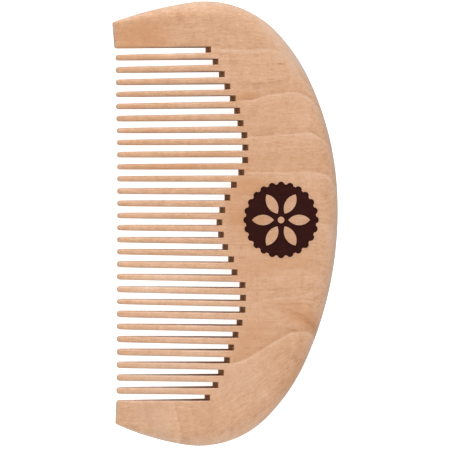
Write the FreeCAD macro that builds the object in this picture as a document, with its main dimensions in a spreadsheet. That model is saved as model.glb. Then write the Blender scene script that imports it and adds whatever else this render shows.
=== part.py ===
import FreeCAD, Part
import math
import os
import Sketcher

# Beard comb: a half-moon comb sawn and sanded out of one wooden board, with a round mark burned into the
# top face.  Millimetres.  The comb lies flat: +X runs from the tooth tips to the rounded back, +Y runs
# along the comb's length, +Z points out of the marked face.  The origin is under the middle of the comb,
# on the face that it rests on.

os.makedirs("parts", exist_ok=True)

V = FreeCAD.Vector
doc = FreeCAD.newDocument("beard_comb")

# ---------------------------------------------------------------- driving dimensions

# junctions of the eight tangent arcs of the back, clockwise from the upper corner to the lower corner
OUTLINE = [
    (-29.530, 51.897),
    (-9.208, 57.159),
    (13.450, 49.470),
    (21.356, 38.247),
    (29.175, 9.079),
    (20.948, -35.549),
    (10.697, -50.277),
    (-10.620, -57.146),
    (-28.740, -51.575),
]
RADII = [102.43, 26.016, 45.298, 76.131, 93.716, 49.777, 24.736, 67.844]

# the line that the tips end on, slightly hollow, from the upper corner down: its corners all lie in slots,
# so each tooth and guard has one flat tip
TIPS = [
    (-28.98, 44.60),
    (-28.72, 44.00),
    (-28.57, 28.66),
    (-28.34, 22.48),
    (-28.28, 3.71),
    (-28.37, -12.00),
    (-28.38, -34.67),
    (-28.52, -44.62),
]

# the 29 hand-sawn slots, top to bottom: X and Y of the middle of the slot's end, and its direction in degrees
SLOTS = [
    (-4.57, 44.82, 1.24),
    (-2.70, 41.74, 1.21),
    (-1.05, 38.53, 1.15),
    (0.42, 35.37, 1.07),
    (1.84, 32.30, 0.98),
    (2.96, 29.13, 0.86),
    (3.85, 25.91, 0.73),
    (4.87, 22.82, 0.59),
    (5.13, 19.65, 0.44),
    (5.10, 16.40, 0.28),
    (4.06, 13.22, 0.12),
    (2.11, 10.04, -0.04),
    (0.42, 6.76, -0.20),
    (-0.92, 3.54, -0.36),
    (-1.67, 0.37, -0.51),
    (-1.25, -2.82, -0.66),
    (-0.13, -5.99, -0.78),
    (1.39, -9.18, -0.90),
    (2.28, -12.54, -1.00),
    (4.37, -15.81, -1.08),
    (4.51, -19.11, -1.13),
    (4.37, -22.18, -1.16),
    (3.61, -25.52, -1.16),
    (2.54, -28.62, -1.12),
    (1.40, -31.88, -1.06),
    (0.30, -35.15, -0.95),
    (-1.25, -38.35, -0.80),
    (-2.72, -41.53, -0.61),
    (-4.83, -44.77, -0.37),
]

SIZES = [
    # board
    ("board_thick", 10.0),          # thickness of the board at the back
    ("back_round", 4.5),            # rounding of the back edge, both faces
    ("taper_start", -5.52),         # X where both faces start to slope towards the tips
    ("tip_half_thick", 1.40),       # half the thickness at the tips
    ("tip_x", -28.50),              # X where that half thickness is measured
    # slots
    ("kerf_root", 1.53),            # width of a slot at its end
    ("kerf_far", 1.63),             # width of a slot where the cutter leaves the board
    ("kerf_reach", 36.0),           # length of the cutter
    ("kerf_past", 0.40),            # how far the cutter runs on past the root line
    # teeth
    ("tooth_round", 0.38),          # rounding of the edges of the teeth and of the guards' slot side
    ("guard_round", 1.10),          # rounding of the guards' outer edges
    # burned mark
    ("mark_x", 13.67),
    ("mark_y", 0.97),
    ("mark_disc", 9.25),            # radius of the burned disc without its scallops
    ("mark_scallop", 0.95),         # radius of one scallop
    ("mark_scallop_ring", 8.95),    # radius of the circle that the scallops sit on
    ("mark_scallop_count", 24),
    ("mark_depth", 0.30),           # depth of the burned recess
    ("mark_char", 0.10),            # thickness of the charred layer in it
    ("petal_inner", 1.90),          # a petal runs from this radius ...
    ("petal_outer", 7.60),          # ... to this one
    ("petal_half", 1.35),           # half its width in the middle
    ("petal_count", 6),
    ("hub_round", 0.85),            # small unburned dot in the middle
]

sheet = doc.addObject("Spreadsheet::Sheet", "Dimensions")
sheet.Label = "Dimensions"
row = 0


def cell(alias, value):
    global row
    row += 1
    sheet.set("A%d" % row, alias)
    sheet.set("B%d" % row, "%.6g" % value)
    sheet.setAlias("B%d" % row, alias)


for alias, value in SIZES:
    cell(alias, value)
for i, (x, y) in enumerate(OUTLINE):
    cell("outline_%02d_x" % (i + 1), x)
    cell("outline_%02d_y" % (i + 1), y)
for i, radius in enumerate(RADII):
    cell("outline_%02d_radius" % (i + 1), radius)
for i, (x, y) in enumerate(TIPS):
    cell("tipline_%02d_x" % (i + 1), x)
    cell("tipline_%02d_y" % (i + 1), y)
for i, (x, y, a) in enumerate(SLOTS):
    cell("slot_%02d_x" % (i + 1), x)
    cell("slot_%02d_y" % (i + 1), y)
    cell("slot_%02d_angle" % (i + 1), a)
doc.recompute()


def val(alias):
    return float(sheet.get(alias))


def ref(alias):
    return "Dimensions." + alias


# ---------------------------------------------------------------- helpers


def plane(body, role):
    for feature in body.Origin.OriginFeatures:
        if feature.Role == role:
            return feature
    raise RuntimeError("no plane " + role)


def attach(sketch, body, role, offset=None):
    sketch.AttachmentSupport = [(plane(body, role), "")]
    sketch.MapMode = "FlatFace"
    if offset is not None:
        sketch.setExpression("AttachmentOffset.Base.z", offset)


def bound(sketch, kind, geo, pos, name, value, expression):
    """Adds a dimension to a point or a curve of a sketch and binds it to the sheet."""
    if pos is None:
        index = sketch.addConstraint(Sketcher.Constraint(kind, geo, value))
    else:
        index = sketch.addConstraint(Sketcher.Constraint(kind, geo, pos, value))
    sketch.renameConstraint(index, name)
    sketch.setExpression("Constraints." + name, expression)


def arc_clockwise(p, q, radius):
    """Arc of circle that runs clockwise from p to q, with its centre on the right of the way."""
    (x1, y1), (x2, y2) = p, q
    mx, my = (x1 + x2) / 2, (y1 + y2) / 2
    dx, dy = x2 - x1, y2 - y1
    chord = math.hypot(dx, dy)
    rise = math.sqrt(radius * radius - chord * chord / 4)
    cx, cy = mx + dy / chord * rise, my - dx / chord * rise
    a_end = math.atan2(y2 - cy, x2 - cx)
    a_start = math.atan2(y1 - cy, x1 - cx)
    if a_start < a_end:
        a_start += 2 * math.pi
    return Part.ArcOfCircle(Part.Circle(V(cx, cy, 0), V(0, 0, 1), radius), a_end, a_start)


def polygon(sketch, points, names):
    """Closed polygon whose corners are bound to the sheet: names gives two expressions for each corner."""
    n = len(points)
    first = sketch.GeometryCount
    sketch.addGeometry(
        [Part.LineSegment(V(*points[i], 0), V(*points[(i + 1) % n], 0)) for i in range(n)], False
    )
    sketch.addConstraint(
        [Sketcher.Constraint("Coincident", first + i, 2, first + (i + 1) % n, 1) for i in range(n)]
    )
    for i in range(n):
        bound(sketch, "DistanceX", first + i, 1, "p%03dx" % (first + i), points[i][0], names[i][0])
        bound(sketch, "DistanceY", first + i, 1, "p%03dy" % (first + i), points[i][1], names[i][1])


# ---------------------------------------------------------------- board

board = doc.addObject("PartDesign::Body", "board")
board.Label = "board"
outline = board.newObject("Sketcher::SketchObject", "outline")
attach(outline, board, "XY_Plane")

n_arcs = len(RADII)
outline.addGeometry([arc_clockwise(OUTLINE[i], OUTLINE[i + 1], RADII[i]) for i in range(n_arcs)], False)
# the tip line goes on from the lower corner back up to the upper corner
chain = [OUTLINE[-1]] + TIPS[::-1] + [OUTLINE[0]]
outline.addGeometry([Part.LineSegment(V(*chain[i], 0), V(*chain[i + 1], 0)) for i in range(len(chain) - 1)], False)
links = []
for i in range(n_arcs - 1):
    links.append(Sketcher.Constraint("Coincident", i, 1, i + 1, 2))
links.append(Sketcher.Constraint("Coincident", n_arcs - 1, 1, n_arcs, 1))
for i in range(len(chain) - 2):
    links.append(Sketcher.Constraint("Coincident", n_arcs + i, 2, n_arcs + i + 1, 1))
links.append(Sketcher.Constraint("Coincident", n_arcs + len(chain) - 2, 2, 0, 2))
outline.addConstraint(links)
for i in range(n_arcs):
    name = "outline_%02d" % (i + 1)
    bound(outline, "DistanceX", i, 2, "j%02dx" % (i + 1), OUTLINE[i][0], ref(name + "_x"))
    bound(outline, "DistanceY", i, 2, "j%02dy" % (i + 1), OUTLINE[i][1], ref(name + "_y"))
    bound(outline, "Radius", i, None, "r%02d" % (i + 1), RADII[i], ref(name + "_radius"))
last = "outline_%02d" % (n_arcs + 1)
bound(outline, "DistanceX", n_arcs - 1, 1, "jlastx", OUTLINE[-1][0], ref(last + "_x"))
bound(outline, "DistanceY", n_arcs - 1, 1, "jlasty", OUTLINE[-1][1], ref(last + "_y"))
for i, (x, y) in enumerate(TIPS[::-1]):
    name = "tipline_%02d" % (len(TIPS) - i)
    bound(outline, "DistanceX", n_arcs + 1 + i, 1, "t%02dx" % (i + 1), x, ref(name + "_x"))
    bound(outline, "DistanceY", n_arcs + 1 + i, 1, "t%02dy" % (i + 1), y, ref(name + "_y"))

board_pad = board.newObject("PartDesign::Pad", "board_pad")
board_pad.Profile = outline
board_pad.Length = val("board_thick")
board_pad.setExpression("Length", ref("board_thick"))
doc.recompute()


def long_edges(shape, level, tol=1e-4):
    """Names of the curved outline edges at one height: the edges of the back, without the tip line."""
    names = []
    for i, edge in enumerate(shape.Edges):
        box = edge.BoundBox
        if abs(box.ZMin - level) < tol and abs(box.ZMax - level) < tol and edge.Curve.TypeId == "Part::GeomCircle":
            names.append("Edge%d" % (i + 1))
    return names


# both edges of the back are rounded over
edge_round = board.newObject("PartDesign::Fillet", "edge_round")
edge_round.Base = (board_pad, long_edges(board_pad.Shape, 0.0) + long_edges(board_pad.Shape, val("board_thick")))
edge_round.Radius = val("back_round")
edge_round.setExpression("Radius", ref("back_round"))
doc.recompute()

# both faces slope in a straight line from the taper's start to the tips
slope = "(%s / 2 - %s) / (%s - %s)" % (ref("board_thick"), ref("tip_half_thick"), ref("taper_start"), ref("tip_x"))
slope_value = (val("board_thick") / 2 - val("tip_half_thick")) / (val("taper_start") - val("tip_x"))
FAR = -32.0
drop = slope_value * (val("taper_start") - FAR)
drop_expression = "%s * (%s + 32)" % (slope, ref("taper_start"))


def taper(name, side):
    """Pocket that slopes one face: side +1 is the marked face, -1 the face that it rests on."""
    sketch = board.newObject("Sketcher::SketchObject", name + "_sketch")
    attach(sketch, board, "XZ_Plane")
    face = val("board_thick") if side > 0 else 0.0
    face_expression = ref("board_thick") if side > 0 else "0 * " + ref("board_thick")
    start = ref("taper_start")
    points = [
        (val("taper_start"), face),
        (FAR, face - side * drop),
        (FAR, face + side * 2),
        (val("taper_start"), face + side * 2),
    ]
    names = [
        (start, face_expression),
        ("0 * %s - 32" % start, "%s - %d * %s" % (face_expression, side, drop_expression)),
        ("0 * %s - 32" % start, "%s + %d * 2" % (face_expression, side)),
        (start, "%s + %d * 2" % (face_expression, side)),
    ]
    polygon(sketch, points, names)
    pocket = board.newObject("PartDesign::Pocket", name)
    pocket.Profile = sketch
    pocket.SideType = "Symmetric"
    pocket.Type = "Length"
    pocket.Length = 160
    doc.recompute()
    return pocket


before = edge_round.Shape.Volume
taper_top = taper("taper_top", 1)
middle = taper_top.Shape.Volume
taper_under = taper("taper_under", -1)
after = taper_under.Shape.Volume
if not (before - middle > 2000 and middle - after > 2000):
    raise RuntimeError("a taper pocket cut nothing: %g %g %g" % (before, middle, after))
board.Tip = taper_under
doc.recompute()

# ---------------------------------------------------------------- slots

kerf_list = []
for i, (x, y, a) in enumerate(SLOTS):
    name = "slot_%02d" % (i + 1)
    kerf = doc.addObject("Part::Wedge", "kerf_%02d" % (i + 1))
    kerf.Label = "kerf_%02d" % (i + 1)
    # the wedge's own Y runs along the slot, from its end towards the tips
    kerf.setExpression("Xmin", "-%s / 2" % ref("kerf_root"))
    kerf.setExpression("Xmax", "%s / 2" % ref("kerf_root"))
    kerf.setExpression("X2min", "-%s / 2" % ref("kerf_far"))
    kerf.setExpression("X2max", "%s / 2" % ref("kerf_far"))
    kerf.setExpression("Ymin", "-%s" % ref("kerf_past"))
    kerf.setExpression("Ymax", ref("kerf_reach"))
    for prop in ("Zmin", "Z2min"):
        kerf.setExpression(prop, "-0.2 * %s" % ref("board_thick"))
    for prop in ("Zmax", "Z2max"):
        kerf.setExpression(prop, "1.2 * %s" % ref("board_thick"))
    kerf.Placement = FreeCAD.Placement(V(x, y, 0), FreeCAD.Rotation(V(0, 0, 1), 90 + a))
    kerf.setExpression("Placement.Base.x", ref(name + "_x"))
    kerf.setExpression("Placement.Base.y", ref(name + "_y"))
    kerf.setExpression("Placement.Rotation.Angle", "90 + %s" % ref(name + "_angle"))
    kerf_list.append(kerf)
kerfs = doc.addObject("Part::Compound", "kerfs")
kerfs.Label = "kerfs"
kerfs.Links = kerf_list

# ---------------------------------------------------------------- root zone

# Everything on the tip side of the root line belongs to the teeth and guards.  The root line runs across the
# end of each slot and slants across the root of each tooth to the next slot's end.
half = val("kerf_root") / 2
half_expression = "%s / 2" % ref("kerf_root")
root_points, root_names = [], []
for i, (x, y, a) in enumerate(SLOTS):
    name = "slot_%02d" % (i + 1)
    angle = math.radians(a)
    for side in (1, -1):
        root_points.append((x - side * half * math.sin(angle), y + side * half * math.cos(angle)))
        root_names.append(
            (
                "%s - %d * %s * sin(%s * 1deg)" % (ref(name + "_x"), side, half_expression, ref(name + "_angle")),
                "%s + %d * %s * cos(%s * 1deg)" % (ref(name + "_y"), side, half_expression, ref(name + "_angle")),
            )
        )
first_x, last_x = root_points[0][0], root_points[-1][0]
corners = [(last_x, -64.0), (-34.0, -64.0), (-34.0, 64.0), (first_x, 64.0)]
zero = "0 * " + ref("kerf_root")
corner_names = [
    (root_names[-1][0], zero + " - 64"),
    (zero + " - 34", zero + " - 64"),
    (zero + " - 34", zero + " + 64"),
    (root_names[0][0], zero + " + 64"),
]
root_body = doc.addObject("PartDesign::Body", "root_zone")
root_body.Label = "root_zone"
root_sketch = root_body.newObject("Sketcher::SketchObject", "root_sketch")
attach(root_sketch, root_body, "XY_Plane", "-0.2 * " + ref("board_thick"))
polygon(root_sketch, root_points + corners, root_names + corner_names)
root_pad = root_body.newObject("PartDesign::Pad", "root_pad")
root_pad.Profile = root_sketch
root_pad.Length = 1.4 * val("board_thick")
root_pad.setExpression("Length", "1.4 * " + ref("board_thick"))
doc.recompute()

# the teeth lie between the middles of the first and the last slot
first, final = SLOTS[0], SLOTS[-1]


def slot_line(slot, name, x):
    value = slot[1] + (x - slot[0]) * math.tan(math.radians(slot[2]))
    text = "%s + (%s - %s) * tan(%s * 1deg)" % (ref(name + "_y"), "(%g)" % x, ref(name + "_x"), ref(name + "_angle"))
    return value, text


name_a, name_b = "slot_01", "slot_%02d" % len(SLOTS)
tooth_points, tooth_names = [], []
for slot, name, x in ((first, name_a, -34.0), (first, name_a, 12.0), (final, name_b, 12.0), (final, name_b, -34.0)):
    value, text = slot_line(slot, name, x)
    tooth_points.append((x, value))
    tooth_names.append((zero + " + (%g)" % x, text))
tooth_body = doc.addObject("PartDesign::Body", "tooth_zone")
tooth_body.Label = "tooth_zone"
tooth_sketch = tooth_body.newObject("Sketcher::SketchObject", "tooth_sketch")
attach(tooth_sketch, tooth_body, "XY_Plane", "-0.3 * " + ref("board_thick"))
polygon(tooth_sketch, tooth_points, tooth_names)
tooth_pad = tooth_body.newObject("PartDesign::Pad", "tooth_pad")
tooth_pad.Profile = tooth_sketch
tooth_pad.Length = 1.6 * val("board_thick")
tooth_pad.setExpression("Length", "1.6 * " + ref("board_thick"))
doc.recompute()

# ---------------------------------------------------------------- burned mark


def mark_body(name, base, length):
    """Scalloped disc with a ring of six petals and a dot left standing in it."""
    body = doc.addObject("PartDesign::Body", name)
    body.Label = name
    body.Placement = FreeCAD.Placement(V(val("mark_x"), val("mark_y"), 0), FreeCAD.Rotation())
    body.setExpression("Placement.Base.x", ref("mark_x"))
    body.setExpression("Placement.Base.y", ref("mark_y"))

    disc = body.newObject("Sketcher::SketchObject", name + "_disc")
    attach(disc, body, "XY_Plane", base)
    disc.addGeometry(Part.Circle(V(0, 0, 0), V(0, 0, 1), val("mark_disc")), False)
    disc.addConstraint(Sketcher.Constraint("Coincident", 0, 3, -1, 1))
    bound(disc, "Radius", 0, None, "disc", val("mark_disc"), ref("mark_disc"))
    pad = body.newObject("PartDesign::Pad", name + "_pad")
    pad.Profile = disc
    pad.setExpression("Length", length)
    doc.recompute()

    bump = body.newObject("Sketcher::SketchObject", name + "_scallop")
    attach(bump, body, "XY_Plane", base)
    bump.addGeometry(Part.Circle(V(val("mark_scallop_ring"), 0, 0), V(0, 0, 1), val("mark_scallop")), False)
    bound(bump, "Radius", 0, None, "scallop", val("mark_scallop"), ref("mark_scallop"))
    bound(bump, "DistanceX", 0, 3, "ring", val("mark_scallop_ring"), ref("mark_scallop_ring"))
    bump.addConstraint(Sketcher.Constraint("PointOnObject", 0, 3, -1))
    bump_pad = body.newObject("PartDesign::Pad", name + "_scallop_pad")
    bump_pad.Profile = bump
    bump_pad.setExpression("Length", length)
    doc.recompute()
    ring = body.newObject("PartDesign::PolarPattern", name + "_scallops")
    ring.Originals = [bump_pad]
    ring.Axis = (plane(body, "Z_Axis"), [""])
    ring.Angle = 360
    ring.Occurrences = int(val("mark_scallop_count"))
    ring.setExpression("Occurrences", ref("mark_scallop_count"))
    body.Tip = ring
    doc.recompute()
    solid = ring.Shape.Volume

    inner, outer, wide = val("petal_inner"), val("petal_outer"), val("petal_half")
    mid, reach = (inner + outer) / 2, (outer - inner) / 2
    radius = (reach * reach + wide * wide) / (2 * wide)
    tilt = math.asin(reach / radius)
    petal = body.newObject("Sketcher::SketchObject", name + "_petal")
    attach(petal, body, "XY_Plane", base)
    petal.addGeometry(
        [
            Part.ArcOfCircle(
                Part.Circle(V(mid, wide - radius, 0), V(0, 0, 1), radius), math.pi / 2 - tilt, math.pi / 2 + tilt
            ),
            Part.ArcOfCircle(
                Part.Circle(V(mid, radius - wide, 0), V(0, 0, 1), radius),
                3 * math.pi / 2 - tilt,
                3 * math.pi / 2 + tilt,
            ),
            Part.Circle(V(0, 0, 0), V(0, 0, 1), val("hub_round")),
        ],
        False,
    )
    petal.addConstraint(
        [
            Sketcher.Constraint("Coincident", 0, 1, 1, 2),
            Sketcher.Constraint("Coincident", 0, 2, 1, 1),
            Sketcher.Constraint("PointOnObject", 0, 1, -1),
            Sketcher.Constraint("PointOnObject", 0, 2, -1),
            Sketcher.Constraint("Coincident", 2, 3, -1, 1),
        ]
    )
    bound(petal, "DistanceX", 0, 2, "inner", inner, ref("petal_inner"))
    bound(petal, "DistanceX", 0, 1, "outer", outer, ref("petal_outer"))
    curve = "((%s - %s)^2 / 4 + %s^2) / (2 * %s)" % (
        ref("petal_outer"), ref("petal_inner"), ref("petal_half"), ref("petal_half"))
    bound(petal, "Radius", 0, None, "above", radius, curve)
    bound(petal, "Radius", 1, None, "below", radius, curve)
    bound(petal, "Radius", 2, None, "hub", val("hub_round"), ref("hub_round"))
    cut = body.newObject("PartDesign::Pocket", name + "_petal_cut")
    cut.Profile = petal
    cut.SideType = "Symmetric"
    cut.Type = "Length"
    cut.Length = 4
    doc.recompute()
    rosette = body.newObject("PartDesign::PolarPattern", name + "_rosette")
    rosette.Originals = [cut]
    rosette.Axis = (plane(body, "Z_Axis"), [""])
    rosette.Angle = 360
    rosette.Occurrences = int(val("petal_count"))
    rosette.setExpression("Occurrences", ref("petal_count"))
    body.Tip = rosette
    doc.recompute()
    if not rosette.Shape.Volume < 0.85 * solid:
        raise RuntimeError("the petals of %s were not cut" % name)
    return body


floor = "%s - %s" % (ref("board_thick"), ref("mark_depth"))
mark_recess = mark_body("mark_recess", floor, "%s + 1" % ref("mark_depth"))
burned_mark = mark_body("burned_mark", floor, ref("mark_char"))

# ---------------------------------------------------------------- the pieces


def boolean(kind, name, base, tool):
    feature = doc.addObject(kind, name)
    feature.Label = name
    feature.Base = base
    feature.Tool = tool
    return feature


board_without_teeth = boolean("Part::Cut", "board_without_teeth", board, root_body)
comb_back = boolean("Part::Cut", "comb_back", board_without_teeth, mark_recess)
tip_side = doc.addObject("Part::Common", "tip_side")
tip_side.Base, tip_side.Tool = board, root_body
sawn = boolean("Part::Cut", "sawn", tip_side, kerfs)
teeth_square = doc.addObject("Part::Common", "teeth_square")
teeth_square.Base, teeth_square.Tool = sawn, tooth_body
guards_square = boolean("Part::Cut", "guards_square", sawn, tooth_body)
doc.recompute()


def rounded(name, base, radius, wanted):
    """Rounds the edges of the base that the test picks out."""
    picked = [(i + 1, radius, radius) for i, edge in enumerate(base.Shape.Edges) if wanted(edge.BoundBox, edge)]
    if not picked:
        raise RuntimeError("no edges for " + name)
    feature = doc.addObject("Part::Fillet", name)
    feature.Label = name
    feature.Base = base
    feature.Edges = picked
    doc.recompute()
    return feature


def at_tip(box, edge):
    return box.XMax < -27.5


def along(box, edge):
    return box.XLength > 0.5 and box.YLength < 1.2


def slot_side(box, edge):
    """A straight long edge of a guard on the side of the first or the last slot."""
    near_slot = min(abs(box.YMin), abs(box.YMax)) < abs(SLOTS[0][1]) + 1
    return box.XLength > 0.5 and box.YLength < 1 and near_slot and edge.Curve.TypeId == "Part::GeomLine"


def outer_side(box, edge):
    """A long edge of a guard where the sloped face meets the rounding of the back edge."""
    return box.XLength > 15 and edge.Curve.TypeId == "Part::GeomBSplineCurve"


tooth_round = val("tooth_round")
teeth = rounded("teeth", teeth_square, tooth_round, lambda box, edge: along(box, edge) or at_tip(box, edge))
guards_outer = rounded("guards_outer", guards_square, val("guard_round"), outer_side)
guards_inner = rounded("guards_inner", guards_outer, tooth_round, slot_side)
end_guards = rounded("end_guards", guards_inner, tooth_round, at_tip)

# ---------------------------------------------------------------- check and write

NODES = {"comb_back": (comb_back, 1), "teeth": (teeth, len(SLOTS) - 1), "end_guards": (end_guards, 2),
         "burned_mark": (burned_mark, 1)}
for item in doc.Objects:
    if any(word in ("Invalid", "Error") for word in item.State):
        raise RuntimeError("%s failed: %s" % (item.Name, item.State))
for name, (item, solids) in NODES.items():
    shape = item.Shape
    if shape.isNull() or not shape.isValid():
        raise RuntimeError("%s has no valid shape" % name)
    if len(shape.Solids) != solids:
        raise RuntimeError("%s has %d solids, not %d" % (name, len(shape.Solids), solids))
total = None
for name, (item, solids) in NODES.items():
    box = item.Shape.BoundBox
    print("%-12s %2d solids  volume %9.2f  x %.3f %.3f  y %.3f %.3f  z %.3f %.3f" % (
        name, len(item.Shape.Solids), item.Shape.Volume, box.XMin, box.XMax, box.YMin, box.YMax, box.ZMin, box.ZMax))
    item.Shape.exportStep("parts/%s.step" % name)
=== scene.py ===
import math

import bpy
from mathutils import Matrix, Vector
from mathutils.geometry import delaunay_2d_cdt


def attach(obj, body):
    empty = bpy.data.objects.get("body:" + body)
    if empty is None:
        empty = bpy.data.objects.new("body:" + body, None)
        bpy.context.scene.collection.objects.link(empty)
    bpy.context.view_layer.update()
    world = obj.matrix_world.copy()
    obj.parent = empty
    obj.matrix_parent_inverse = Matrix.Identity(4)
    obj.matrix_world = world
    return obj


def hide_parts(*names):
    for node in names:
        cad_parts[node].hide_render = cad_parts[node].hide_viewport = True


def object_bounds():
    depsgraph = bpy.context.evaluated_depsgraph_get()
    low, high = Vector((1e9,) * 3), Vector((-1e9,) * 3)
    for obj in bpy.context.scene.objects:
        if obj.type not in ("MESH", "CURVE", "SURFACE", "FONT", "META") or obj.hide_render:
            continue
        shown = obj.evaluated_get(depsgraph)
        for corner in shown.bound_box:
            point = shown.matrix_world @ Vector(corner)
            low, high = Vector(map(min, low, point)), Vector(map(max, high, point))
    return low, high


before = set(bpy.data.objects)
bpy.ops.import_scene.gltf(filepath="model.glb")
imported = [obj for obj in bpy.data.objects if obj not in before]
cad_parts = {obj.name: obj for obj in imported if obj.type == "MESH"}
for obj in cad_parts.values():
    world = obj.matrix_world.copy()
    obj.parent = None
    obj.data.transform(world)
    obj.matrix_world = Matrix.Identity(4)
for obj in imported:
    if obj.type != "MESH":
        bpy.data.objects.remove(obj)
CAD_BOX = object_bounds()

MM = 0.001

# ------------------------------------------------------------------ sizes of the comb, in millimetres

OUTLINE = [
    (-29.530, 51.897),
    (-9.208, 57.159),
    (13.450, 49.470),
    (21.356, 38.247),
    (29.175, 9.079),
    (20.948, -35.549),
    (10.697, -50.277),
    (-10.620, -57.146),
    (-28.740, -51.575),
]
RADII = [102.43, 26.016, 45.298, 76.131, 93.716, 49.777, 24.736, 67.844]
TIPS = [
    (-28.98, 44.60),
    (-28.72, 44.00),
    (-28.57, 28.66),
    (-28.34, 22.48),
    (-28.28, 3.71),
    (-28.37, -12.00),
    (-28.38, -34.67),
    (-28.52, -44.62),
]
SLOTS = [
    (-4.57, 44.82, 1.24),
    (-2.70, 41.74, 1.21),
    (-1.05, 38.53, 1.15),
    (0.42, 35.37, 1.07),
    (1.84, 32.30, 0.98),
    (2.96, 29.13, 0.86),
    (3.85, 25.91, 0.73),
    (4.87, 22.82, 0.59),
    (5.13, 19.65, 0.44),
    (5.10, 16.40, 0.28),
    (4.06, 13.22, 0.12),
    (2.11, 10.04, -0.04),
    (0.42, 6.76, -0.20),
    (-0.92, 3.54, -0.36),
    (-1.67, 0.37, -0.51),
    (-1.25, -2.82, -0.66),
    (-0.13, -5.99, -0.78),
    (1.39, -9.18, -0.90),
    (2.28, -12.54, -1.00),
    (4.37, -15.81, -1.08),
    (4.51, -19.11, -1.13),
    (4.37, -22.18, -1.16),
    (3.61, -25.52, -1.16),
    (2.54, -28.62, -1.12),
    (1.40, -31.88, -1.06),
    (0.30, -35.15, -0.95),
    (-1.25, -38.35, -0.80),
    (-2.72, -41.53, -0.61),
    (-4.83, -44.77, -0.37),
]
THICK = 10.0
MID = THICK / 2
BACK_ROUND = 4.5
BACK_WIDTH = 5.5
TAPER_START = -5.52
TIP_X = -28.50
TIP_HALF = 1.40
TAPER_BLEND = 1.6
KERF_ROOT = 1.53
KERF_FAR = 1.63
KERF_REACH = 36.0
TOOTH_WIDTH, TOOTH_DEPTH = 0.60, 0.95
ROUND_ROOT = 0.12
PLAN_ROUND = 0.66
MARK = (13.67, 0.97)
MARK_DEPTH = 0.30
MARK_DISC, MARK_SCALLOP, MARK_RING, MARK_COUNT = 9.25, 0.95, 8.95, 24
PETAL_IN, PETAL_OUT, PETAL_HALF, PETAL_COUNT, HUB = 1.90, 7.60, 1.35, 6, 0.85


def smooth(a, b, t):
    t = min(1.0, max(0.0, (t - a) / (b - a)))
    return t * t * (3 - 2 * t)


SLOPE = (MID - TIP_HALF) / (TAPER_START - TIP_X)


def half_thick(x):
    """Half the board's thickness at x: flat at the back, then a straight taper, with a sanded change between."""
    t = TAPER_START - x
    if t >= TAPER_BLEND:
        return MID - SLOPE * t
    if t <= -TAPER_BLEND:
        return MID
    return MID - SLOPE * (t + TAPER_BLEND) ** 2 / (4 * TAPER_BLEND)


def half_slope(x):
    t = TAPER_START - x
    if t >= TAPER_BLEND:
        return SLOPE
    if t <= -TAPER_BLEND:
        return 0.0
    return SLOPE * (t + TAPER_BLEND) / (2 * TAPER_BLEND)


# ------------------------------------------------------------------ the comb's outline in plan


def arc_points(p, q, radius, step):
    """Points of the clockwise arc from p to q, without q."""
    (x1, y1), (x2, y2) = p, q
    mx, my = (x1 + x2) / 2, (y1 + y2) / 2
    dx, dy = x2 - x1, y2 - y1
    chord = math.hypot(dx, dy)
    rise = math.sqrt(radius * radius - chord * chord / 4)
    cx, cy = mx + dy / chord * rise, my - dx / chord * rise
    a1 = math.atan2(y1 - cy, x1 - cx)
    a2 = math.atan2(y2 - cy, x2 - cx)
    while a2 > a1:
        a2 -= 2 * math.pi
    n = max(2, int(math.ceil((a1 - a2) * radius / step)))
    out = []
    for i in range(n):
        a = a1 + (a2 - a1) * i / n
        out.append((cx + radius * math.cos(a), cy + radius * math.sin(a)))
    return out


def tip_line(y):
    chain = [OUTLINE[0]] + TIPS + [OUTLINE[-1]]
    for (x1, y1), (x2, y2) in zip(chain, chain[1:]):
        if y2 <= y <= y1:
            return x1 + (x2 - x1) * (y - y1) / (y2 - y1)
    return chain[-1][0]


def slot_point(slot, along, side):
    """A point on a slot's wall: along is the way from the slot's end towards the tips, side +1 is its +Y wall."""
    x, y, a = slot
    a = math.radians(a)
    half = 0.5 * (KERF_ROOT + (KERF_FAR - KERF_ROOT) * along / KERF_REACH)
    return (x - along * math.cos(a) - side * half * math.sin(a), y - along * math.sin(a) + side * half * math.cos(a))


def slot_mouth(slot, side):
    """Where a slot's wall meets the tip line."""
    low, high = 15.0, 40.0
    for _ in range(60):
        mid = (low + high) / 2
        px, py = slot_point(slot, mid, side)
        if px > tip_line(py):
            low = mid
        else:
            high = mid
    return low


def corner(a, b, c, radius, n=7):
    """Rounds the corner b between a and c: n points of the arc that touches both sides."""
    va, vc = Vector(a) - Vector(b), Vector(c) - Vector(b)
    va.normalize()
    vc.normalize()
    ang = va.angle(vc)
    cut = radius / math.tan(ang / 2)
    bis = (va + vc).normalized()
    centre = Vector(b) + bis * (radius / math.sin(ang / 2))
    p, q = Vector(b) + va * cut, Vector(b) + vc * cut
    a1 = math.atan2(*(p - centre).yx)
    a2 = math.atan2(*(q - centre).yx)
    d = (a2 - a1 + math.pi) % (2 * math.pi) - math.pi
    return [(centre.x + radius * math.cos(a1 + d * i / (n - 1)), centre.y + radius * math.sin(a1 + d * i / (n - 1)))
            for i in range(n)]


# Each vertex of the loop is (x, y, depth of the rounding, sharp, kind, painted slot shade, width of the rounding).
# kind is
# "outer", "wall" or "tip".  The loop runs clockwise: round the back from the upper corner, then up through the tips
# and slots.
loop = []


def add(p, rounding, sharp=False, kind="outer", slot_shade=0.0, width=None):
    loop.append((p[0], p[1], rounding, sharp, kind, slot_shade, rounding if width is None else width))


def tooth_round(along):
    """Width and depth of a tooth's rounding, nearly half its width but for the slot's end."""
    share = smooth(-1.0, 5.0, along)
    first = smooth(-1.0, 5.0, 0.0)
    share = (share - first) / (1 - first)
    return ROUND_ROOT + (TOOTH_WIDTH - ROUND_ROOT) * share, ROUND_ROOT + (TOOTH_DEPTH - ROUND_ROOT) * share


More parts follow.
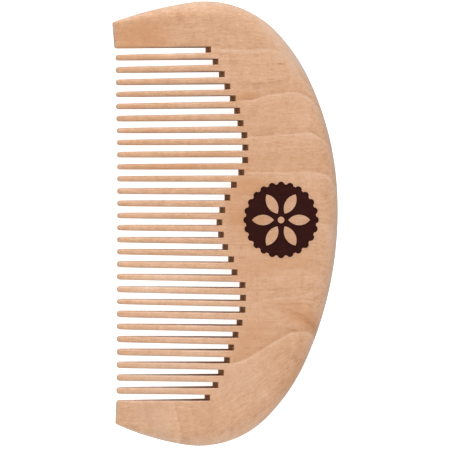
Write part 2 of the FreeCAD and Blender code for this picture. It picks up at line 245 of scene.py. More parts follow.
def add_wall(slot, along, side):
    width, depth = tooth_round(along)
    add(slot_point(slot, along, side), depth, kind="wall", slot_shade=slot_shade_at(along), width=width)


# painted shade deep in the slots: full at a slot's end, gone 13 mm out towards the tips
def slot_shade_at(along):
    return 1.0 - smooth(1.0, 13.0, along)


outer = []
for i, radius in enumerate(RADII):
    outer += arc_points(OUTLINE[i], OUTLINE[i + 1], radius, 0.9)
outer.append(OUTLINE[-1])

lower_tip = slot_point(SLOTS[-1], slot_mouth(SLOTS[-1], -1), -1)
upper_tip = slot_point(SLOTS[0], slot_mouth(SLOTS[0], 1), 1)
upper_corner = corner(upper_tip, OUTLINE[0], outer[1], 0.6)
lower_corner = corner(outer[-2], OUTLINE[-1], lower_tip, 0.6)


def outer_round(x, y):
    """The back's rounding runs out to a small one at the guards' corners."""
    if x > TAPER_START + 1:
        return BACK_ROUND
    share = (TAPER_START + 1 - x) / (TAPER_START + 1 + 29.0)
    big = BACK_ROUND + (1.15 - BACK_ROUND) * min(1.0, share)
    return max(0.5, min(big, 0.5 + (x + 29.0) * 0.35))


for p in upper_corner[1:]:
    add(p, 0.48)
for p in outer:
    if math.dist(p, OUTLINE[0]) > 1.0 and math.dist(p, OUTLINE[-1]) > 1.0:
        add(p, outer_round(*p), width=outer_round(*p) * (1 + (BACK_WIDTH / BACK_ROUND - 1) * smooth(-27.0, -12.0, p[0])))
for p in lower_corner:
    add(p, 0.48)

STATIONS = [0.0, 0.35, 0.9, 1.8, 3.0, 4.2, 5.4, 6.6, 7.8, 9.0, 10.2, 11.4, 13.0, 15.0, 17.0, 19.0, 21.0, 23.0, 25.0, 27.0,
            29.0, 31.0, 33.0]

for k in range(len(SLOTS) - 1, -1, -1):
    slot = SLOTS[k]
    below, above = slot_mouth(slot, -1), slot_mouth(slot, 1)
    mouth_low, mouth_high = slot_point(slot, below, -1), slot_point(slot, above, 1)
    # the corner of the tooth or guard below the slot
    if k == len(SLOTS) - 1:
        before = lower_corner[-1]
    else:
        before = slot_point(SLOTS[k + 1], slot_mouth(SLOTS[k + 1], 1), 1)
    for p in corner(before, mouth_low, slot_point(slot, below - 3, -1), PLAN_ROUND):
        add(p, TOOTH_DEPTH, kind="tip", width=TOOTH_WIDTH)
    for s in reversed([v for v in STATIONS if 0 < v < below - 1.2]):
        add_wall(slot, s, -1)
    # the slot's end wall takes the full painted shade
    add(slot_point(slot, 0, -1), ROUND_ROOT, sharp=True, kind="wall", slot_shade=1.0)
    add(slot_point(slot, 0, 1), ROUND_ROOT, sharp=True, kind="wall", slot_shade=1.0)
    for s in [v for v in STATIONS if 0 < v < above - 1.2]:
        add_wall(slot, s, 1)
    if k == 0:
        after = upper_corner[0]
    else:
        after = slot_point(SLOTS[k - 1], slot_mouth(SLOTS[k - 1], -1), -1)
    for p in corner(slot_point(slot, above - 3, 1), mouth_high, after, PLAN_ROUND):
        add(p, TOOTH_DEPTH, kind="tip", width=TOOTH_WIDTH)
add(upper_corner[0], 0.48)

N = len(loop)
P = [Vector((v[0], v[1])) for v in loop]
ROUND = [v[2] for v in loop]
SHARP = [v[3] for v in loop]
SLOT_SHADE = [v[5] for v in loop]
WIDTH = [v[6] for v in loop]


def edge_normal(i):
    """Outward normal of the loop's edge from i to i + 1: the loop runs clockwise, so outward is on the left."""
    d = P[(i + 1) % N] - P[i]
    return Vector((-d.y, d.x)).normalized()


EDGE_N = [edge_normal(i) for i in range(N)]
MITRE, VERT_N = [], []
for i in range(N):
    a, b = EDGE_N[i - 1], EDGE_N[i]
    m = (a + b).normalized()
    VERT_N.append(m)
    MITRE.append(m / max(0.35, m.dot(b)))


def corner_normal(i, edge):
    """Plan normal of vertex i as a face on that edge sees it."""
    return EDGE_N[edge] if SHARP[i] else VERT_N[i]


# ------------------------------------------------------------------ the wooden comb as one closed mesh

verts, faces, normals, tags = [], [], [], []


def vertex(x, y, z):
    verts.append((x * MM, min(max(y * MM, CAD_BOX[0][1]), CAD_BOX[1][1]), z * MM))
    return len(verts) - 1


def face(index, loop_normals, slot_shade, kerf=0.0):
    faces.append(index)
    normals.extend(loop_normals)
    tags.extend([(s, kerf) for s in slot_shade])


def surface_normal(x, up):
    n = Vector((-half_slope(x), 0.0, 1.0)).normalized()
    return n if up > 0 else Vector((n.x, n.y, -n.z))


RINGS = 8
ANGLES = [math.pi / 2 * j / RINGS for j in range(RINGS + 1)]


def build_side(up):
    """One face of the comb: rings of the edge rounding, then a support ring.  Returns the rings' vertices."""
    rings = []
    for j, angle in enumerate(ANGLES):
        ring = []
        for i in range(N):
            r = ROUND[i]
            p = P[i] - MITRE[i] * (WIDTH[i] * (1 - math.cos(angle)))
            level = half_thick(p.x) - r * (1 - math.sin(angle))
            ring.append(vertex(p.x, p.y, MID + up * level))
        rings.append(ring)
    ring = []
    for i in range(N):
        p = P[i] - MITRE[i] * (WIDTH[i] + 0.035)
        ring.append(vertex(p.x, p.y, MID + up * half_thick(p.x)))
    rings.append(ring)
    for j in range(len(rings) - 1):
        a, b = rings[j], rings[j + 1]
        for i in range(N):
            k = (i + 1) % N
            quad = (a[i], b[i], b[k], a[k])
            angles = [ANGLES[min(j, RINGS)], ANGLES[min(j + 1, RINGS)], ANGLES[min(j + 1, RINGS)], ANGLES[min(j, RINGS)]]
            ends = [i, i, k, k]
            ns = []
            for vi, t, e in zip(quad, angles, ends):
                flat = corner_normal(e, i)
                x = verts[vi][0] / MM
                n = Vector((flat.x, flat.y, 0)) * (math.cos(t) / WIDTH[e]) + surface_normal(x, up) * (math.sin(t) / ROUND[e])
                ns.append(n.normalized())
            # the painted slot shade goes on the rounding's first ring only
            painted_slot_shade = 1.0 if j == 0 else 0.0
            sc = [SLOT_SHADE[i] * painted_slot_shade, 0.0, 0.0, SLOT_SHADE[k] * painted_slot_shade]
            if up < 0:
                quad, ns, sc = quad[::-1], ns[::-1], sc[::-1]
            face(quad, ns, sc)
    return rings


top = build_side(1)
under = build_side(-1)

# walls between the two faces, one band of quads with level normals so that the thin ones shade evenly
for i in range(N):
    k = (i + 1) % N
    a, b = top[0][i], top[0][k]
    c, d = under[0][k], under[0][i]
    n1 = corner_normal(i, i)
    n2 = corner_normal(k, i)
    kerf = 1.0 if loop[i][4] == "wall" or loop[k][4] == "wall" else 0.0
    n1, n2 = Vector((n1.x, n1.y, 0)), Vector((n2.x, n2.y, 0))
    # the walls carry the painted shade deep in the slot ends
    face((a, b, c, d), [n1, n2, n2, n1], [SLOT_SHADE[i], SLOT_SHADE[k], SLOT_SHADE[k], SLOT_SHADE[i]], kerf)


# ------------------------------------------------------------------ the burned mark's outline


def mark_loops():
    """Closed loops round the mark's centre: first the scalloped rim, then the petals and the dot, all counter-clockwise."""
    rim = []
    phi = math.acos((MARK_DISC ** 2 + MARK_RING ** 2 - MARK_SCALLOP ** 2) / (2 * MARK_DISC * MARK_RING))
    x, y = MARK_DISC * math.cos(phi), MARK_DISC * math.sin(phi)
    reach = math.atan2(y, x - MARK_RING)
    for k in range(MARK_COUNT):
        turn = 2 * math.pi * k / MARK_COUNT
        pts = []
        for i in range(9):
            a = -reach + 2 * reach * i / 8
            pts.append((MARK_RING + MARK_SCALLOP * math.cos(a), MARK_SCALLOP * math.sin(a)))
        gap = 2 * math.pi / MARK_COUNT - 2 * phi
        for i in range(1, 3):
            a = phi + gap * i / 3
            pts.append((MARK_DISC * math.cos(a), MARK_DISC * math.sin(a)))
        for px, py in pts:
            rim.append((px * math.cos(turn) - py * math.sin(turn), px * math.sin(turn) + py * math.cos(turn)))
    loops = [rim]
    mid, reach = (PETAL_IN + PETAL_OUT) / 2, (PETAL_OUT - PETAL_IN) / 2
    radius = (reach * reach + PETAL_HALF ** 2) / (2 * PETAL_HALF)
    tilt = math.asin(reach / radius)
    petal = []
    for i in range(14):
        a = math.pi / 2 - tilt + 2 * tilt * i / 14
        petal.append((mid + radius * math.cos(a), PETAL_HALF - radius + radius * math.sin(a)))
    for i in range(14):
        a = 3 * math.pi / 2 - tilt + 2 * tilt * i / 14
        petal.append((mid + radius * math.cos(a), radius - PETAL_HALF + radius * math.sin(a)))
    for k in range(PETAL_COUNT):
        turn = 2 * math.pi * k / PETAL_COUNT
        loops.append([(px * math.cos(turn) - py * math.sin(turn), px * math.sin(turn) + py * math.cos(turn))
                      for px, py in petal])
    loops.append([(HUB * math.cos(2 * math.pi * i / 24), HUB * math.sin(2 * math.pi * i / 24)) for i in range(24)])
    return [[(x + MARK[0], y + MARK[1]) for x, y in one] for one in loops]


def inside(p, poly):
    x, y = p
    hit = False
    for (x1, y1), (x2, y2) in zip(poly, poly[1:] + poly[:1]):
        if (y1 > y) != (y2 > y) and x < (x2 - x1) * (y - y1) / (y2 - y1) + x1:
            hit = not hit
    return hit


MARKS = mark_loops()


def fill(up, marked):
    """Closes one face inside its support ring, with the mark's recess in the marked one."""
    ring = (top if up > 0 else under)[-1]
    pts = [Vector((verts[v][0] / MM, verts[v][1] / MM)) for v in ring]
    edges = []
    owner = list(ring)
    loops_at = []
    if marked:
        for one in MARKS:
            start = len(pts)
            pts += [Vector(p) for p in one]
            owner += [vertex(p[0], p[1], THICK) for p in one]
            edges += [(start + i, start + (i + 1) % len(one)) for i in range(len(one))]
            loops_at.append((start, len(one)))
    # a few points on the tapered part of the guards and on the change of slope keep the faces true
    extra = len(pts)
    for gx in [TAPER_START + TAPER_BLEND * f for f in (1.0, 0.5, 0.0, -0.5, -1.0)] + [-9.0, -12.0, -16.0, -20.0, -24.0]:
        for gy in (48.0, 50.5, -47.6, -50.0):
            q = Vector((gx, gy))
            near = min((q - p).length for p in pts[:N])
            if near > 0.7 and inside((gx, gy), [tuple(p) for p in pts[:N]]):
                pts.append(q)
                owner.append(vertex(gx, gy, MID + up * half_thick(gx)))
    out_pts, _, tris, orig, _, source = delaunay_2d_cdt(pts, edges, [list(range(N))[::-1]], 0, 1e-6, True)
    if len(out_pts) != len(pts):
        raise RuntimeError("the plan's edges cross: %d points became %d" % (len(pts), len(out_pts)))
    tris = [t for t, o in zip(tris, source) if o]
    back = [o[0] for o in orig]
    low = {}
    for tri in tris:
        c = (out_pts[tri[0]] + out_pts[tri[1]] + out_pts[tri[2]]) / 3
        tri = [back[i] for i in tri]
        burned = marked and inside(c, MARKS[0]) and not any(inside(c, one) for one in MARKS[1:])
        a, b, cc = (pts[i] for i in tri)
        if (b - a).cross(cc - a) < 0:
            tri = [tri[0], tri[2], tri[1]]
        if up < 0:
            tri = [tri[0], tri[2], tri[1]]
        if burned:
            index = []
            for i in tri:
                if i not in low:
                    low[i] = vertex(pts[i].x, pts[i].y, THICK - MARK_DEPTH)
                index.append(low[i])
            face(tuple(index), [Vector((0, 0, 1))] * 3, [0.0] * 3)
        else:
            face(tuple(owner[i] for i in tri), [surface_normal(pts[i].x, up) for i in tri], [0.0] * 3)
    for number, (start, count) in enumerate(loops_at):
        for i in range(count):
            k = (i + 1) % count
            a, b = start + i, start + k
            d = pts[b] - pts[a]
            # the recess lies inside the rim and outside each petal
            n = Vector((-d.y, d.x, 0)).normalized() if number == 0 else Vector((d.y, -d.x, 0)).normalized()
            if number == 0:
                quad = (owner[a], owner[b], low[b], low[a])
            else:
                quad = (owner[b], owner[a], low[a], low[b])
            face(quad, [n] * 4, [0.0] * 4)


fill(1, True)
fill(-1, False)

mesh = bpy.data.meshes.new("comb_wood")
mesh.from_pydata(verts, [], faces)
mesh.polygons.foreach_set("use_smooth", [True] * len(mesh.polygons))
# a corner attribute that carries the painted shade deep in the slot ends
painted_slot_shade = mesh.attributes.new("slot_shade", "FLOAT", "CORNER")
painted_slot_shade.data.foreach_set("value", [t[0] for t in tags])
kerf = mesh.attributes.new("kerf", "FLOAT", "CORNER")
kerf.data.foreach_set("value", [t[1] for t in tags])
if mesh.validate(verbose=False):
    raise RuntimeError("the comb's mesh had faults")
mesh.update()
mesh.normals_split_custom_set([tuple(n) for n in normals])
comb = bpy.data.objects.new("comb_wood", mesh)
bpy.context.scene.collection.objects.link(comb)
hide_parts("comb_back", "teeth", "end_guards")
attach(comb, "root")


# ------------------------------------------------------------------ materials


class Graph:
    """A short way to write shader nodes: arguments are numbers or other nodes' outputs."""

    def __init__(self, name):
        self.material = bpy.data.materials.new(name)
        self.material.use_nodes = True
        self.tree = self.material.node_tree
        self.tree.nodes.clear()
        self.out = self.tree.nodes.new("ShaderNodeOutputMaterial")
        self.shader = self.tree.nodes.new("ShaderNodeBsdfPrincipled")
        self.tree.links.new(self.shader.outputs[0], self.out.inputs[0])

    def put(self, socket, value):
        if isinstance(value, bpy.types.NodeSocket):
            self.tree.links.new(value, socket)
        else:
            socket.default_value = value

    def math(self, op, a, b=0.0, c=0.0, clamp=False):
        n = self.tree.nodes.new("ShaderNodeMath")
        n.operation = op
        n.use_clamp = clamp
        for i, v in enumerate((a, b, c)):
            self.put(n.inputs[i], v)
        return n.outputs[0]

    def add(self, *values):
        total = values[0]
        for v in values[1:]:
            total = self.math("ADD", total, v)
        return total

    def mul(self, a, b):
        return self.math("MULTIPLY", a, b)

    def step(self, value, low, high, to_low=0.0, to_high=1.0):
        n = self.tree.nodes.new("ShaderNodeMapRange")
        n.interpolation_type = "SMOOTHSTEP"
        self.put(n.inputs["Value"], value)
        n.inputs["From Min"].default_value = low
        n.inputs["From Max"].default_value = high
        n.inputs["To Min"].default_value = to_low
        n.inputs["To Max"].default_value = to_high
        return n.outputs[0]

    def place(self):
        """Position on the object in millimetres, in the object's own frame."""
        c = self.tree.nodes.new("ShaderNodeTexCoord")
        n = self.tree.nodes.new("ShaderNodeVectorMath")
        n.operation = "SCALE"
        self.tree.links.new(c.outputs["Object"], n.inputs[0])
        n.inputs["Scale"].default_value = 1000.0
        self.coord = c
        return n.outputs[0]

    def split(self, v):
        n = self.tree.nodes.new("ShaderNodeSeparateXYZ")
        self.tree.links.new(v, n.inputs[0])
        return n.outputs[0], n.outputs[1], n.outputs[2]

    def join(self, x, y, z):
        n = self.tree.nodes.new("ShaderNodeCombineXYZ")
        for i, v in enumerate((x, y, z)):
            self.put(n.inputs[i], v)
        return n.outputs[0]

    def noise(self, v, scale, detail=2.0, rough=0.5, warp=0.0, centred=True):
        """Noise stretched by a scale for each axis, per millimetre; centred on zero."""
        m = self.tree.nodes.new("ShaderNodeVectorMath")
        m.operation = "MULTIPLY"
        self.tree.links.new(v, m.inputs[0])
        m.inputs[1].default_value = scale
        n = self.tree.nodes.new("ShaderNodeTexNoise")
        self.tree.links.new(m.outputs[0], n.inputs["Vector"])
        n.inputs["Scale"].default_value = 1.0
        n.inputs["Detail"].default_value = detail
        n.inputs["Roughness"].default_value = rough
        n.inputs["Distortion"].default_value = warp
        out = n.outputs["Fac"]
        return self.math("SUBTRACT", out, 0.5) if centred else out

    def ramp(self, fac, stops, mode="EASE"):
        n = self.tree.nodes.new("ShaderNodeValToRGB")
        n.color_ramp.interpolation = mode
        self.put(n.inputs[0], fac)
        items = n.color_ramp.elements
        while len(items) > 1:
            items.remove(items[-1])
        for i, (pos, colour) in enumerate(stops):
            e = items[0] if i == 0 else items.new(pos)
            e.position = pos
            if isinstance(colour, (int, float)):
                colour = (colour, colour, colour)
            e.color = (colour[0], colour[1], colour[2], 1.0)
        return n.outputs[0]

    def mix(self, fac, a, b, kind="MIX"):
        n = self.tree.nodes.new("ShaderNodeMix")
        n.data_type = "RGBA"
        n.blend_type = kind
        self.put(n.inputs[0], fac)
        for socket, v in ((n.inputs[6], a), (n.inputs[7], b)):
            if isinstance(v, tuple):
                v = (v[0], v[1], v[2], 1.0)
            self.put(socket, v)
        return n.outputs[2]

    def attribute(self, name):
        n = self.tree.nodes.new("ShaderNodeAttribute")
        n.attribute_name = name
        return n.outputs["Fac"]

    def bump(self, height, strength, distance):
        n = self.tree.nodes.new("ShaderNodeBump")
        n.inputs["Strength"].default_value = strength
        n.inputs["Distance"].default_value = distance
        self.put(n.inputs["Height"], height)
        self.tree.links.new(n.outputs[0], self.shader.inputs["Normal"])


# Growth lines that show on the marked face: (x, y) points in millimetres, a strength, and where along x they show.
# The layers are tilted in the board, so y is taken at the face's level and the lines bend where the face falls away.
LINES = [
    ("light", 0.80, (-40.0, -30.0, 19.0, 24.0), [(-29, 50.9), (-25, 50.1), (-21, 48.9), (-17, 47.8), (-10, 46.1), (-3, 45.0),
                                                (4, 44.6), (10, 44.8), (13, 44.6), (15.7, 43.5), (17.6, 41.3), (21, 37.5)]),
    ("dark", 0.72, (2.0, 5.0, 14.5, 18.0), [(-29, 34.6), (3.6, 35.4), (5, 36.1), (7.7, 36.3), (11.4, 36.6), (14.8, 37.2), (16, 37.9),
                                            (21, 38.4)]),
    ("light", 1.10, (1.0, 5.0, 27.0, 32.0), [(-29, 30.4), (3.2, 31.7), (5.1, 31.9), (7.3, 32.3), (9.6, 33.0), (13.2, 33.4), (16, 33.8),
                                               (18.9, 33.6), (20.5, 33.3), (22.1, 32.8), (23.3, 32.1), (26, 30.0)]),
    ("light", 0.95, (2.0, 8.0, 30.0, 36.0), [(-29, 21.4), (5.8, 22.5), (11.4, 22.9), (18.9, 23.3), (20.8, 23.5), (22.7, 23.1),
                                               (24.3, 22.6), (26.7, 21.8), (29, 20.4)]),
    ("light", 0.90, (1.0, 6.0, 30.0, 36.0), [(-29, 12.4), (4.3, 13.2), (18.9, 13.3), (22.7, 13.1), (25, 12.8), (26.6, 12.4),
                                               (28.3, 11.9), (29.5, 11.0)]),
    ("light", 0.50, (-3.0, 3.0, 30.0, 36.0), [(-29, -1.8), (1.4, -0.6), (12, -0.4), (23.7, -0.1), (26.5, 0.0), (29.5, -0.3)]),
    ("light", 0.22, (8.0, 17.0, 30.0, 36.0), [(-29, -9.6), (5.7, -11.0), (14.8, -12.1), (18.9, -11.9), (22.7, -13.2), (28, -15.2)]),
    ("light", 0.62, (3.0, 10.0, 20.0, 27.0), [(-29, -23.6), (0, -21.6), (6.1, -20.6), (9.1, -19.8), (11.3, -19.3), (17, -18.9),
                                               (20.9, -18.0), (28, -17.0)]),
    ("dark", 0.85, (11.0, 17.0, 40.0, 44.0), [(-29, -20.0), (10, -21.0), (14.3, -22.2), (17, -22.9), (19.5, -24.0), (22, -24.7), (26, -24.6)]),
    ("dark", 0.70, (11.0, 14.0, 20.0, 24.0), [(-29, -19.0), (10, -20.6), (15, -20.6), (18.8, -20.4), (24, -21.5)]),
    ("light", 1.05, (-9.0, 0.0, 22.0, 28.0), [(-29, -39.0), (-6, -36.9), (-1.7, -36.2), (1.2, -35.9), (4.8, -34.8), (7.4, -33.2),
                                                (10, -31.6), (12.2, -30.3), (14.4, -29.2), (16.1, -28.4), (18.8, -28.0), (21, -27.6),
                                                (27, -26.6)]),
]

# Soft patches of the wood: x, y, half widths, turn in degrees, how much more orange (+) or paler and greyer (-).
PATCHES = [
    (-24.5, 48.8, 8.5, 3.2, -6, 1.25),
    (-23.5, 53.2, 6.5, 2.2, -6, 0.80),
    (3.0, -33.0, 4.5, 2.5, 20, 0.35),
    (1.8, 52.8, 7.0, 2.6, -12, -0.45),
    (-22.8, -46.8, 6.0, 2.4, 0, -0.35),
    (5.1, 32.8, 2.3, 1.0, 4, 1.20),
    (16.5, 45.3, 8.5, 4.6, -42, -1.05),
    (-12.0, 16.6, 15.0, 2.6, 0, 0.80),
    (-20.0, 26.0, 9.0, 8.0, 0, 0.35),
    (7.0, 10.5, 7.0, 2.4, 0, 0.85),
    (2.5, 2.0, 4.5, 7.5, 0, 0.95),
    (9.0, -11.5, 10.0, 4.0, 8, 0.65),
    (17.0, 16.5, 8.0, 2.0, 0, 0.45),
    (27.5, -3.0, 3.0, 8.0, 0, -0.55),
    (20.0, -24.0, 5.0, 2.6, -18, 1.15),
    (6.0, -28.5, 8.5, 4.2, 28, 0.65),
    (8.0, -41.0, 12.0, 5.5, 40, -0.35),
    (18.0, -37.4, 7.5, 1.5, 58, 0.80),
    (11.0, -46.8, 4.5, 1.2, 48, 0.55),
    (-7.5, -49.0, 5.5, 4.0, 20, 0.55),
    (-17.5, -51.5, 4.0, 3.4, -15, -0.60),
    (-18.0, -38.5, 12.0, 8.0, 0, -0.70),
    (10.0, 24.0, 9.0, 9.0, 0, 0.28),
    (20.0, -9.0, 6.0, 4.0, 0, 0.32),
    (13.6, 41.2, 1.8, 0.7, 0, 0.80),
    (15.5, -20.5, 5.0, 2.6, -10, 0.30),
    (15.5, -35.0, 7.0, 5.0, 50, 0.22),
]

# Soft lighter (+) or darker (-) patches, given the same way: partly the wood's own tone, partly painted light and shade
# on the rounding and the teeth to even out how the lamps fall.
SHADES = [
    (-17.5, -13.0, 9.5, 4.2, 0, 0.25),
    (-12.0, 16.6, 15.0, 2.6, 0, -0.12),
    (3.5, 2.0, 4.5, 7.5, 0, -0.06),
    (-14.0, 45.6, 11.0, 0.8, -4, 0.24),
    (26.5, -3.0, 3.0, 6.0, 0, 0.05),
    (21.0, -24.6, 3.8, 1.6, -18, -0.08),
    (18.0, -37.4, 7.5, 1.5, 58, -0.10),
    (-23.0, 53.0, 7.5, 2.6, -6, -0.10),
    (1.8, 52.8, 7.0, 2.6, -12, -0.09),
    (-22.8, -46.8, 6.0, 2.6, 0, -0.16),
    (15.5, -34.0, 7.0, 5.0, 50, -0.05),
    (-7.3, -49.8, 5.5, 4.0, 20, -0.06),
    (16.5, 45.6, 8.5, 4.8, -42, 0.11),
    (21.5, 29.0, 4.5, 4.5, 0, 0.07),
    (16.0, -13.0, 9.0, 3.2, 0, 0.05),
    (10.8, 37.0, 4.0, 2.6, 0, 0.06),
    (-22.0, 35.0, 9.0, 13.0, 0, -0.10),
    (-8.0, -29.0, 9.0, 14.0, 0, 0.13),
    (9.0, 52.5, 5.5, 2.0, -22, 0.07),
    (-14.0, 55.5, 8.5, 3.0, -6, -0.12),
    (10.8, 15.0, 5.0, 1.5, 0, 0.10),
    (25.0, 8.7, 2.6, 3.4, 0, -0.08),
]

# Short dark pores and flecks: x, y, half widths, turn in degrees, strength.
FLECKS = [
    (13.6, 41.2, 1.15, 0.16, 1, 1.00),
    (11.0, 37.3, 1.60, 0.18, 3, 0.45),
    (5.9, 32.3, 1.30, 0.28, 6, 0.35),
    (16.9, -27.5, 1.50, 0.30, -3, 0.60),
    (21.4, -25.2, 2.20, 0.42, -14, 0.45),
    (18.6, -23.2, 1.90, 0.22, -22, 0.55),
    (15.5, -22.0, 1.40, 0.18, -12, 0.40),
]


def wood_material():
    g = Graph("sanded_fruit_wood")
    p = g.place()
    x, y, z = g.split(p)

    # y carried along the tilted growth layers up to the level of the face, with a little wander
    slow = g.noise(p, (0.030, 0.045, 0.045), 2.0, 0.45)
    small = g.noise(p, (0.16, 0.30, 0.30), 2.0, 0.5)
    level = g.add(y, g.mul(g.math("SUBTRACT", THICK, z), 1.1))
    wander = g.add(g.mul(slow, 0.9), g.mul(small, 0.55))
    layer_y = g.add(level, wander)

    def curve(points, low, high):
        """A smooth curve of x through the points, in millimetres."""
        n = g.tree.nodes.new("ShaderNodeFloatCurve")
        c = n.mapping.curves[0]
        pts = [((px + 32.0) / 64.0, (py - low) / (high - low)) for px, py in points]
        pts = [(0.0, pts[0][1])] + pts + [(1.0, pts[-1][1])]
        c.points[0].location = pts[0]
        c.points[1].location = pts[-1]
        for q in pts[1:-1]:
            c.points.new(*q)
        n.mapping.update()
        g.put(n.inputs["Value"], across)
        return g.add(g.mul(n.outputs[0], high - low), low)

    across = g.math("DIVIDE", g.add(x, 32.0), 64.0, clamp=True)
    layer = None
    below_line = None
    for kind, strength, (x1, x2, x3, x4), points in LINES:
        low = min(v for _, v in points) - 2.0
        high = max(v for _, v in points) + 2.0
        d = g.math("SUBTRACT", layer_y, curve(points, low, high))
        below_line = d
        t = g.math("DIVIDE", g.add(d, 6.0), 12.0, clamp=True)

        def at(v):
            return (v + 6.0) / 12.0

        if kind == "light":
            stops = [(0.0, 0.5), (at(-3.6), 0.515), (at(-1.2), 0.555), (at(-0.60), 0.60), (at(-0.18), 0.73), (at(0.02), 0.68),
                     (at(0.34), 0.39), (at(0.75), 0.355), (at(1.9), 0.43), (at(4.6), 0.5)]
        else:
            stops = [(0.0, 0.5), (at(-2.2), 0.5), (at(-0.60), 0.43), (at(-0.10), 0.24), (at(0.14), 0.28), (at(0.42), 0.52),
                     (at(0.9), 0.53), (at(2.2), 0.5)]
        shape = g.math("SUBTRACT", g.ramp(t, stops, "LINEAR"), 0.5)
        mask = g.mul(g.step(x, x1, x2), g.step(x, x4, x3)) if x2 > x1 else g.step(x, x4, x3)
        line = g.mul(g.mul(shape, strength), mask)
        layer = line if layer is None else g.add(layer, line)
    # two layers stand nearly across the lower guard
    for at_x, strength in ((-22.95, 0.90), (-30.6, 0.36)):
        d = g.math("SUBTRACT", g.add(x, g.mul(g.math("ADD", layer_y, 0.0), 0.20), g.mul(small, 0.5)), at_x)
        t = g.math("DIVIDE", g.add(d, 6.0), 12.0, clamp=True)
        shape = g.ramp(t, [(0.0, 0.5), (0.22, 0.5), (0.42, 0.60), (0.485, 0.66), (0.515, 0.37), (0.56, 0.40), (0.76, 0.5)], "LINEAR")
        across_guard = g.mul(g.math("SUBTRACT", shape, 0.5), g.step(y, -45.0, -46.2))
        layer = g.add(layer, g.mul(across_guard, strength))
    breaks = g.step(g.noise(p, (0.11, 0.05, 0.05), 2.0, 0.6), -0.20, 0.12, 0.55, 1.10)
    layer = g.mul(layer, breaks)

    def spot(cx, cy, rx, ry, turn, power):
        """A soft oval, one at its middle, that follows the tilted layers through the board."""
        c, s = math.cos(math.radians(turn)), math.sin(math.radians(turn))
        dx, dy = g.add(x, -cx), g.add(layer_y, -cy)
        u = g.math("MULTIPLY_ADD", dx, c / rx, g.mul(dy, s / rx))
        v = g.math("MULTIPLY_ADD", dx, -s / ry, g.mul(dy, c / ry))
        r = g.math("MULTIPLY_ADD", u, u, g.mul(v, v))
        return g.mul(g.math("EXPONENT", g.mul(r, -1.0)), power)

    patch = g.noise(p, (0.085, 0.13, 0.13), 3.0, 0.55)
    orange = g.mul(patch, 0.9)
    for one in PATCHES:
        orange = g.add(orange, spot(*one))
    # lighter and darker patches, in part painted light and shade
    shade = None
    for one in SHADES:
        v = spot(*one)
        shade = v if shade is None else g.add(shade, v)
    fleck = None
    for one in FLECKS:
        v = spot(*one)
        fleck = v if fleck is None else g.add(fleck, v)

    # the lower half's fibres turn to run up to the right, below the last growth line
    turned = g.mul(g.step(below_line, 0.4, -4.5), g.step(x, -14.0, 0.0))
    c, s = math.cos(math.radians(34)), math.sin(math.radians(34))
    px = g.math("MULTIPLY_ADD", x, c, g.mul(y, s))
    py = g.math("MULTIPLY_ADD", x, -s, g.mul(y, c))
    q = g.join(px, py, z)

    def both(scale, detail, rough, warp=0.0):
        one = g.noise(p, scale, detail, rough, warp)
        two = g.noise(q, scale, detail, rough, warp)
        return g.math("MULTIPLY_ADD", turned, g.math("SUBTRACT", two, one), one)

    streak = both((0.085, 1.05, 1.05), 3.0, 0.62, 0.4)
    dash = both((0.50, 2.3, 2.3), 2.0, 0.62)
    fibre = g.noise(p, (0.22, 6.5, 6.5), 2.0, 0.6)
    mottle = g.noise(p, (0.24, 0.20, 0.20), 3.0, 0.6)
    ray = g.noise(p, (0.75, 0.30, 0.6), 3.0, 0.6)
    speck = g.noise(p, (1.7, 2.1, 2.1), 2.0, 0.6)
    pore = g.noise(p, (0.75, 7.5, 7.5), 1.0, 0.5)
    pores = g.step(pore, 0.14, 0.24)

    tone = g.add(0.5, g.mul(layer, 0.80), shade, g.mul(streak, 0.42), g.mul(dash, 0.60), g.mul(fibre, 0.22),
                 g.mul(mottle, 0.26), g.mul(ray, 0.34), g.mul(speck, 0.40))
    colour = g.ramp(tone, [(0.0, (0.450, 0.210, 0.094)), (0.30, (0.604, 0.323, 0.177)), (0.5, (0.705, 0.404, 0.238)),
                           (0.68, (0.765, 0.470, 0.301)), (1.0, (0.87, 0.603, 0.437))], "LINEAR")
    orange_at = g.add(orange, g.mul(layer, -0.9), g.mul(dash, 0.5))
    colour = g.mix(g.step(orange_at, 0.0, 1.1, 0.0, 0.62), colour, (0.610, 0.290, 0.130), "MIX")
    colour = g.mix(g.step(orange_at, 0.0, -1.1, 0.0, 0.60), colour, (0.700, 0.475, 0.335), "MIX")
    colour = g.mix(g.mul(pores, 0.16), colour, (0.33, 0.16, 0.085))
    colour = g.mix(g.math("MULTIPLY", fleck, 0.62, clamp=True), colour, (0.31, 0.100, 0.026))

    # end grain shows where the surface turns to face along the fibres
    nx, ny, nz = g.split(g.coord.outputs["Normal"])
    end = g.step(g.math("ABSOLUTE", nx), 0.40, 0.97)
    colour = g.mix(g.mul(end, 0.22), colour, (0.40, 0.255, 0.170))
    # the rounding is tinted paler, greyer and bluer than the face, in part a painted reflection of the grey
    # surroundings
    rim = g.step(g.math("ABSOLUTE", nz), 0.985, 0.35)
    colour = g.mix(rim, colour, (0.925, 1.072, 1.29), "MULTIPLY")

    # toasted wood round the mark
    mx, my = g.math("SUBTRACT", x, MARK[0]), g.math("SUBTRACT", y, MARK[1])
    ring = g.math("SQRT", g.add(g.mul(mx, mx), g.mul(my, my)))
    toast = g.mul(g.step(ring, 10.6, 9.85), g.step(z, 9.5, 9.9))
    colour = g.mix(g.mul(toast, 0.16), colour, (0.30, 0.13, 0.06))

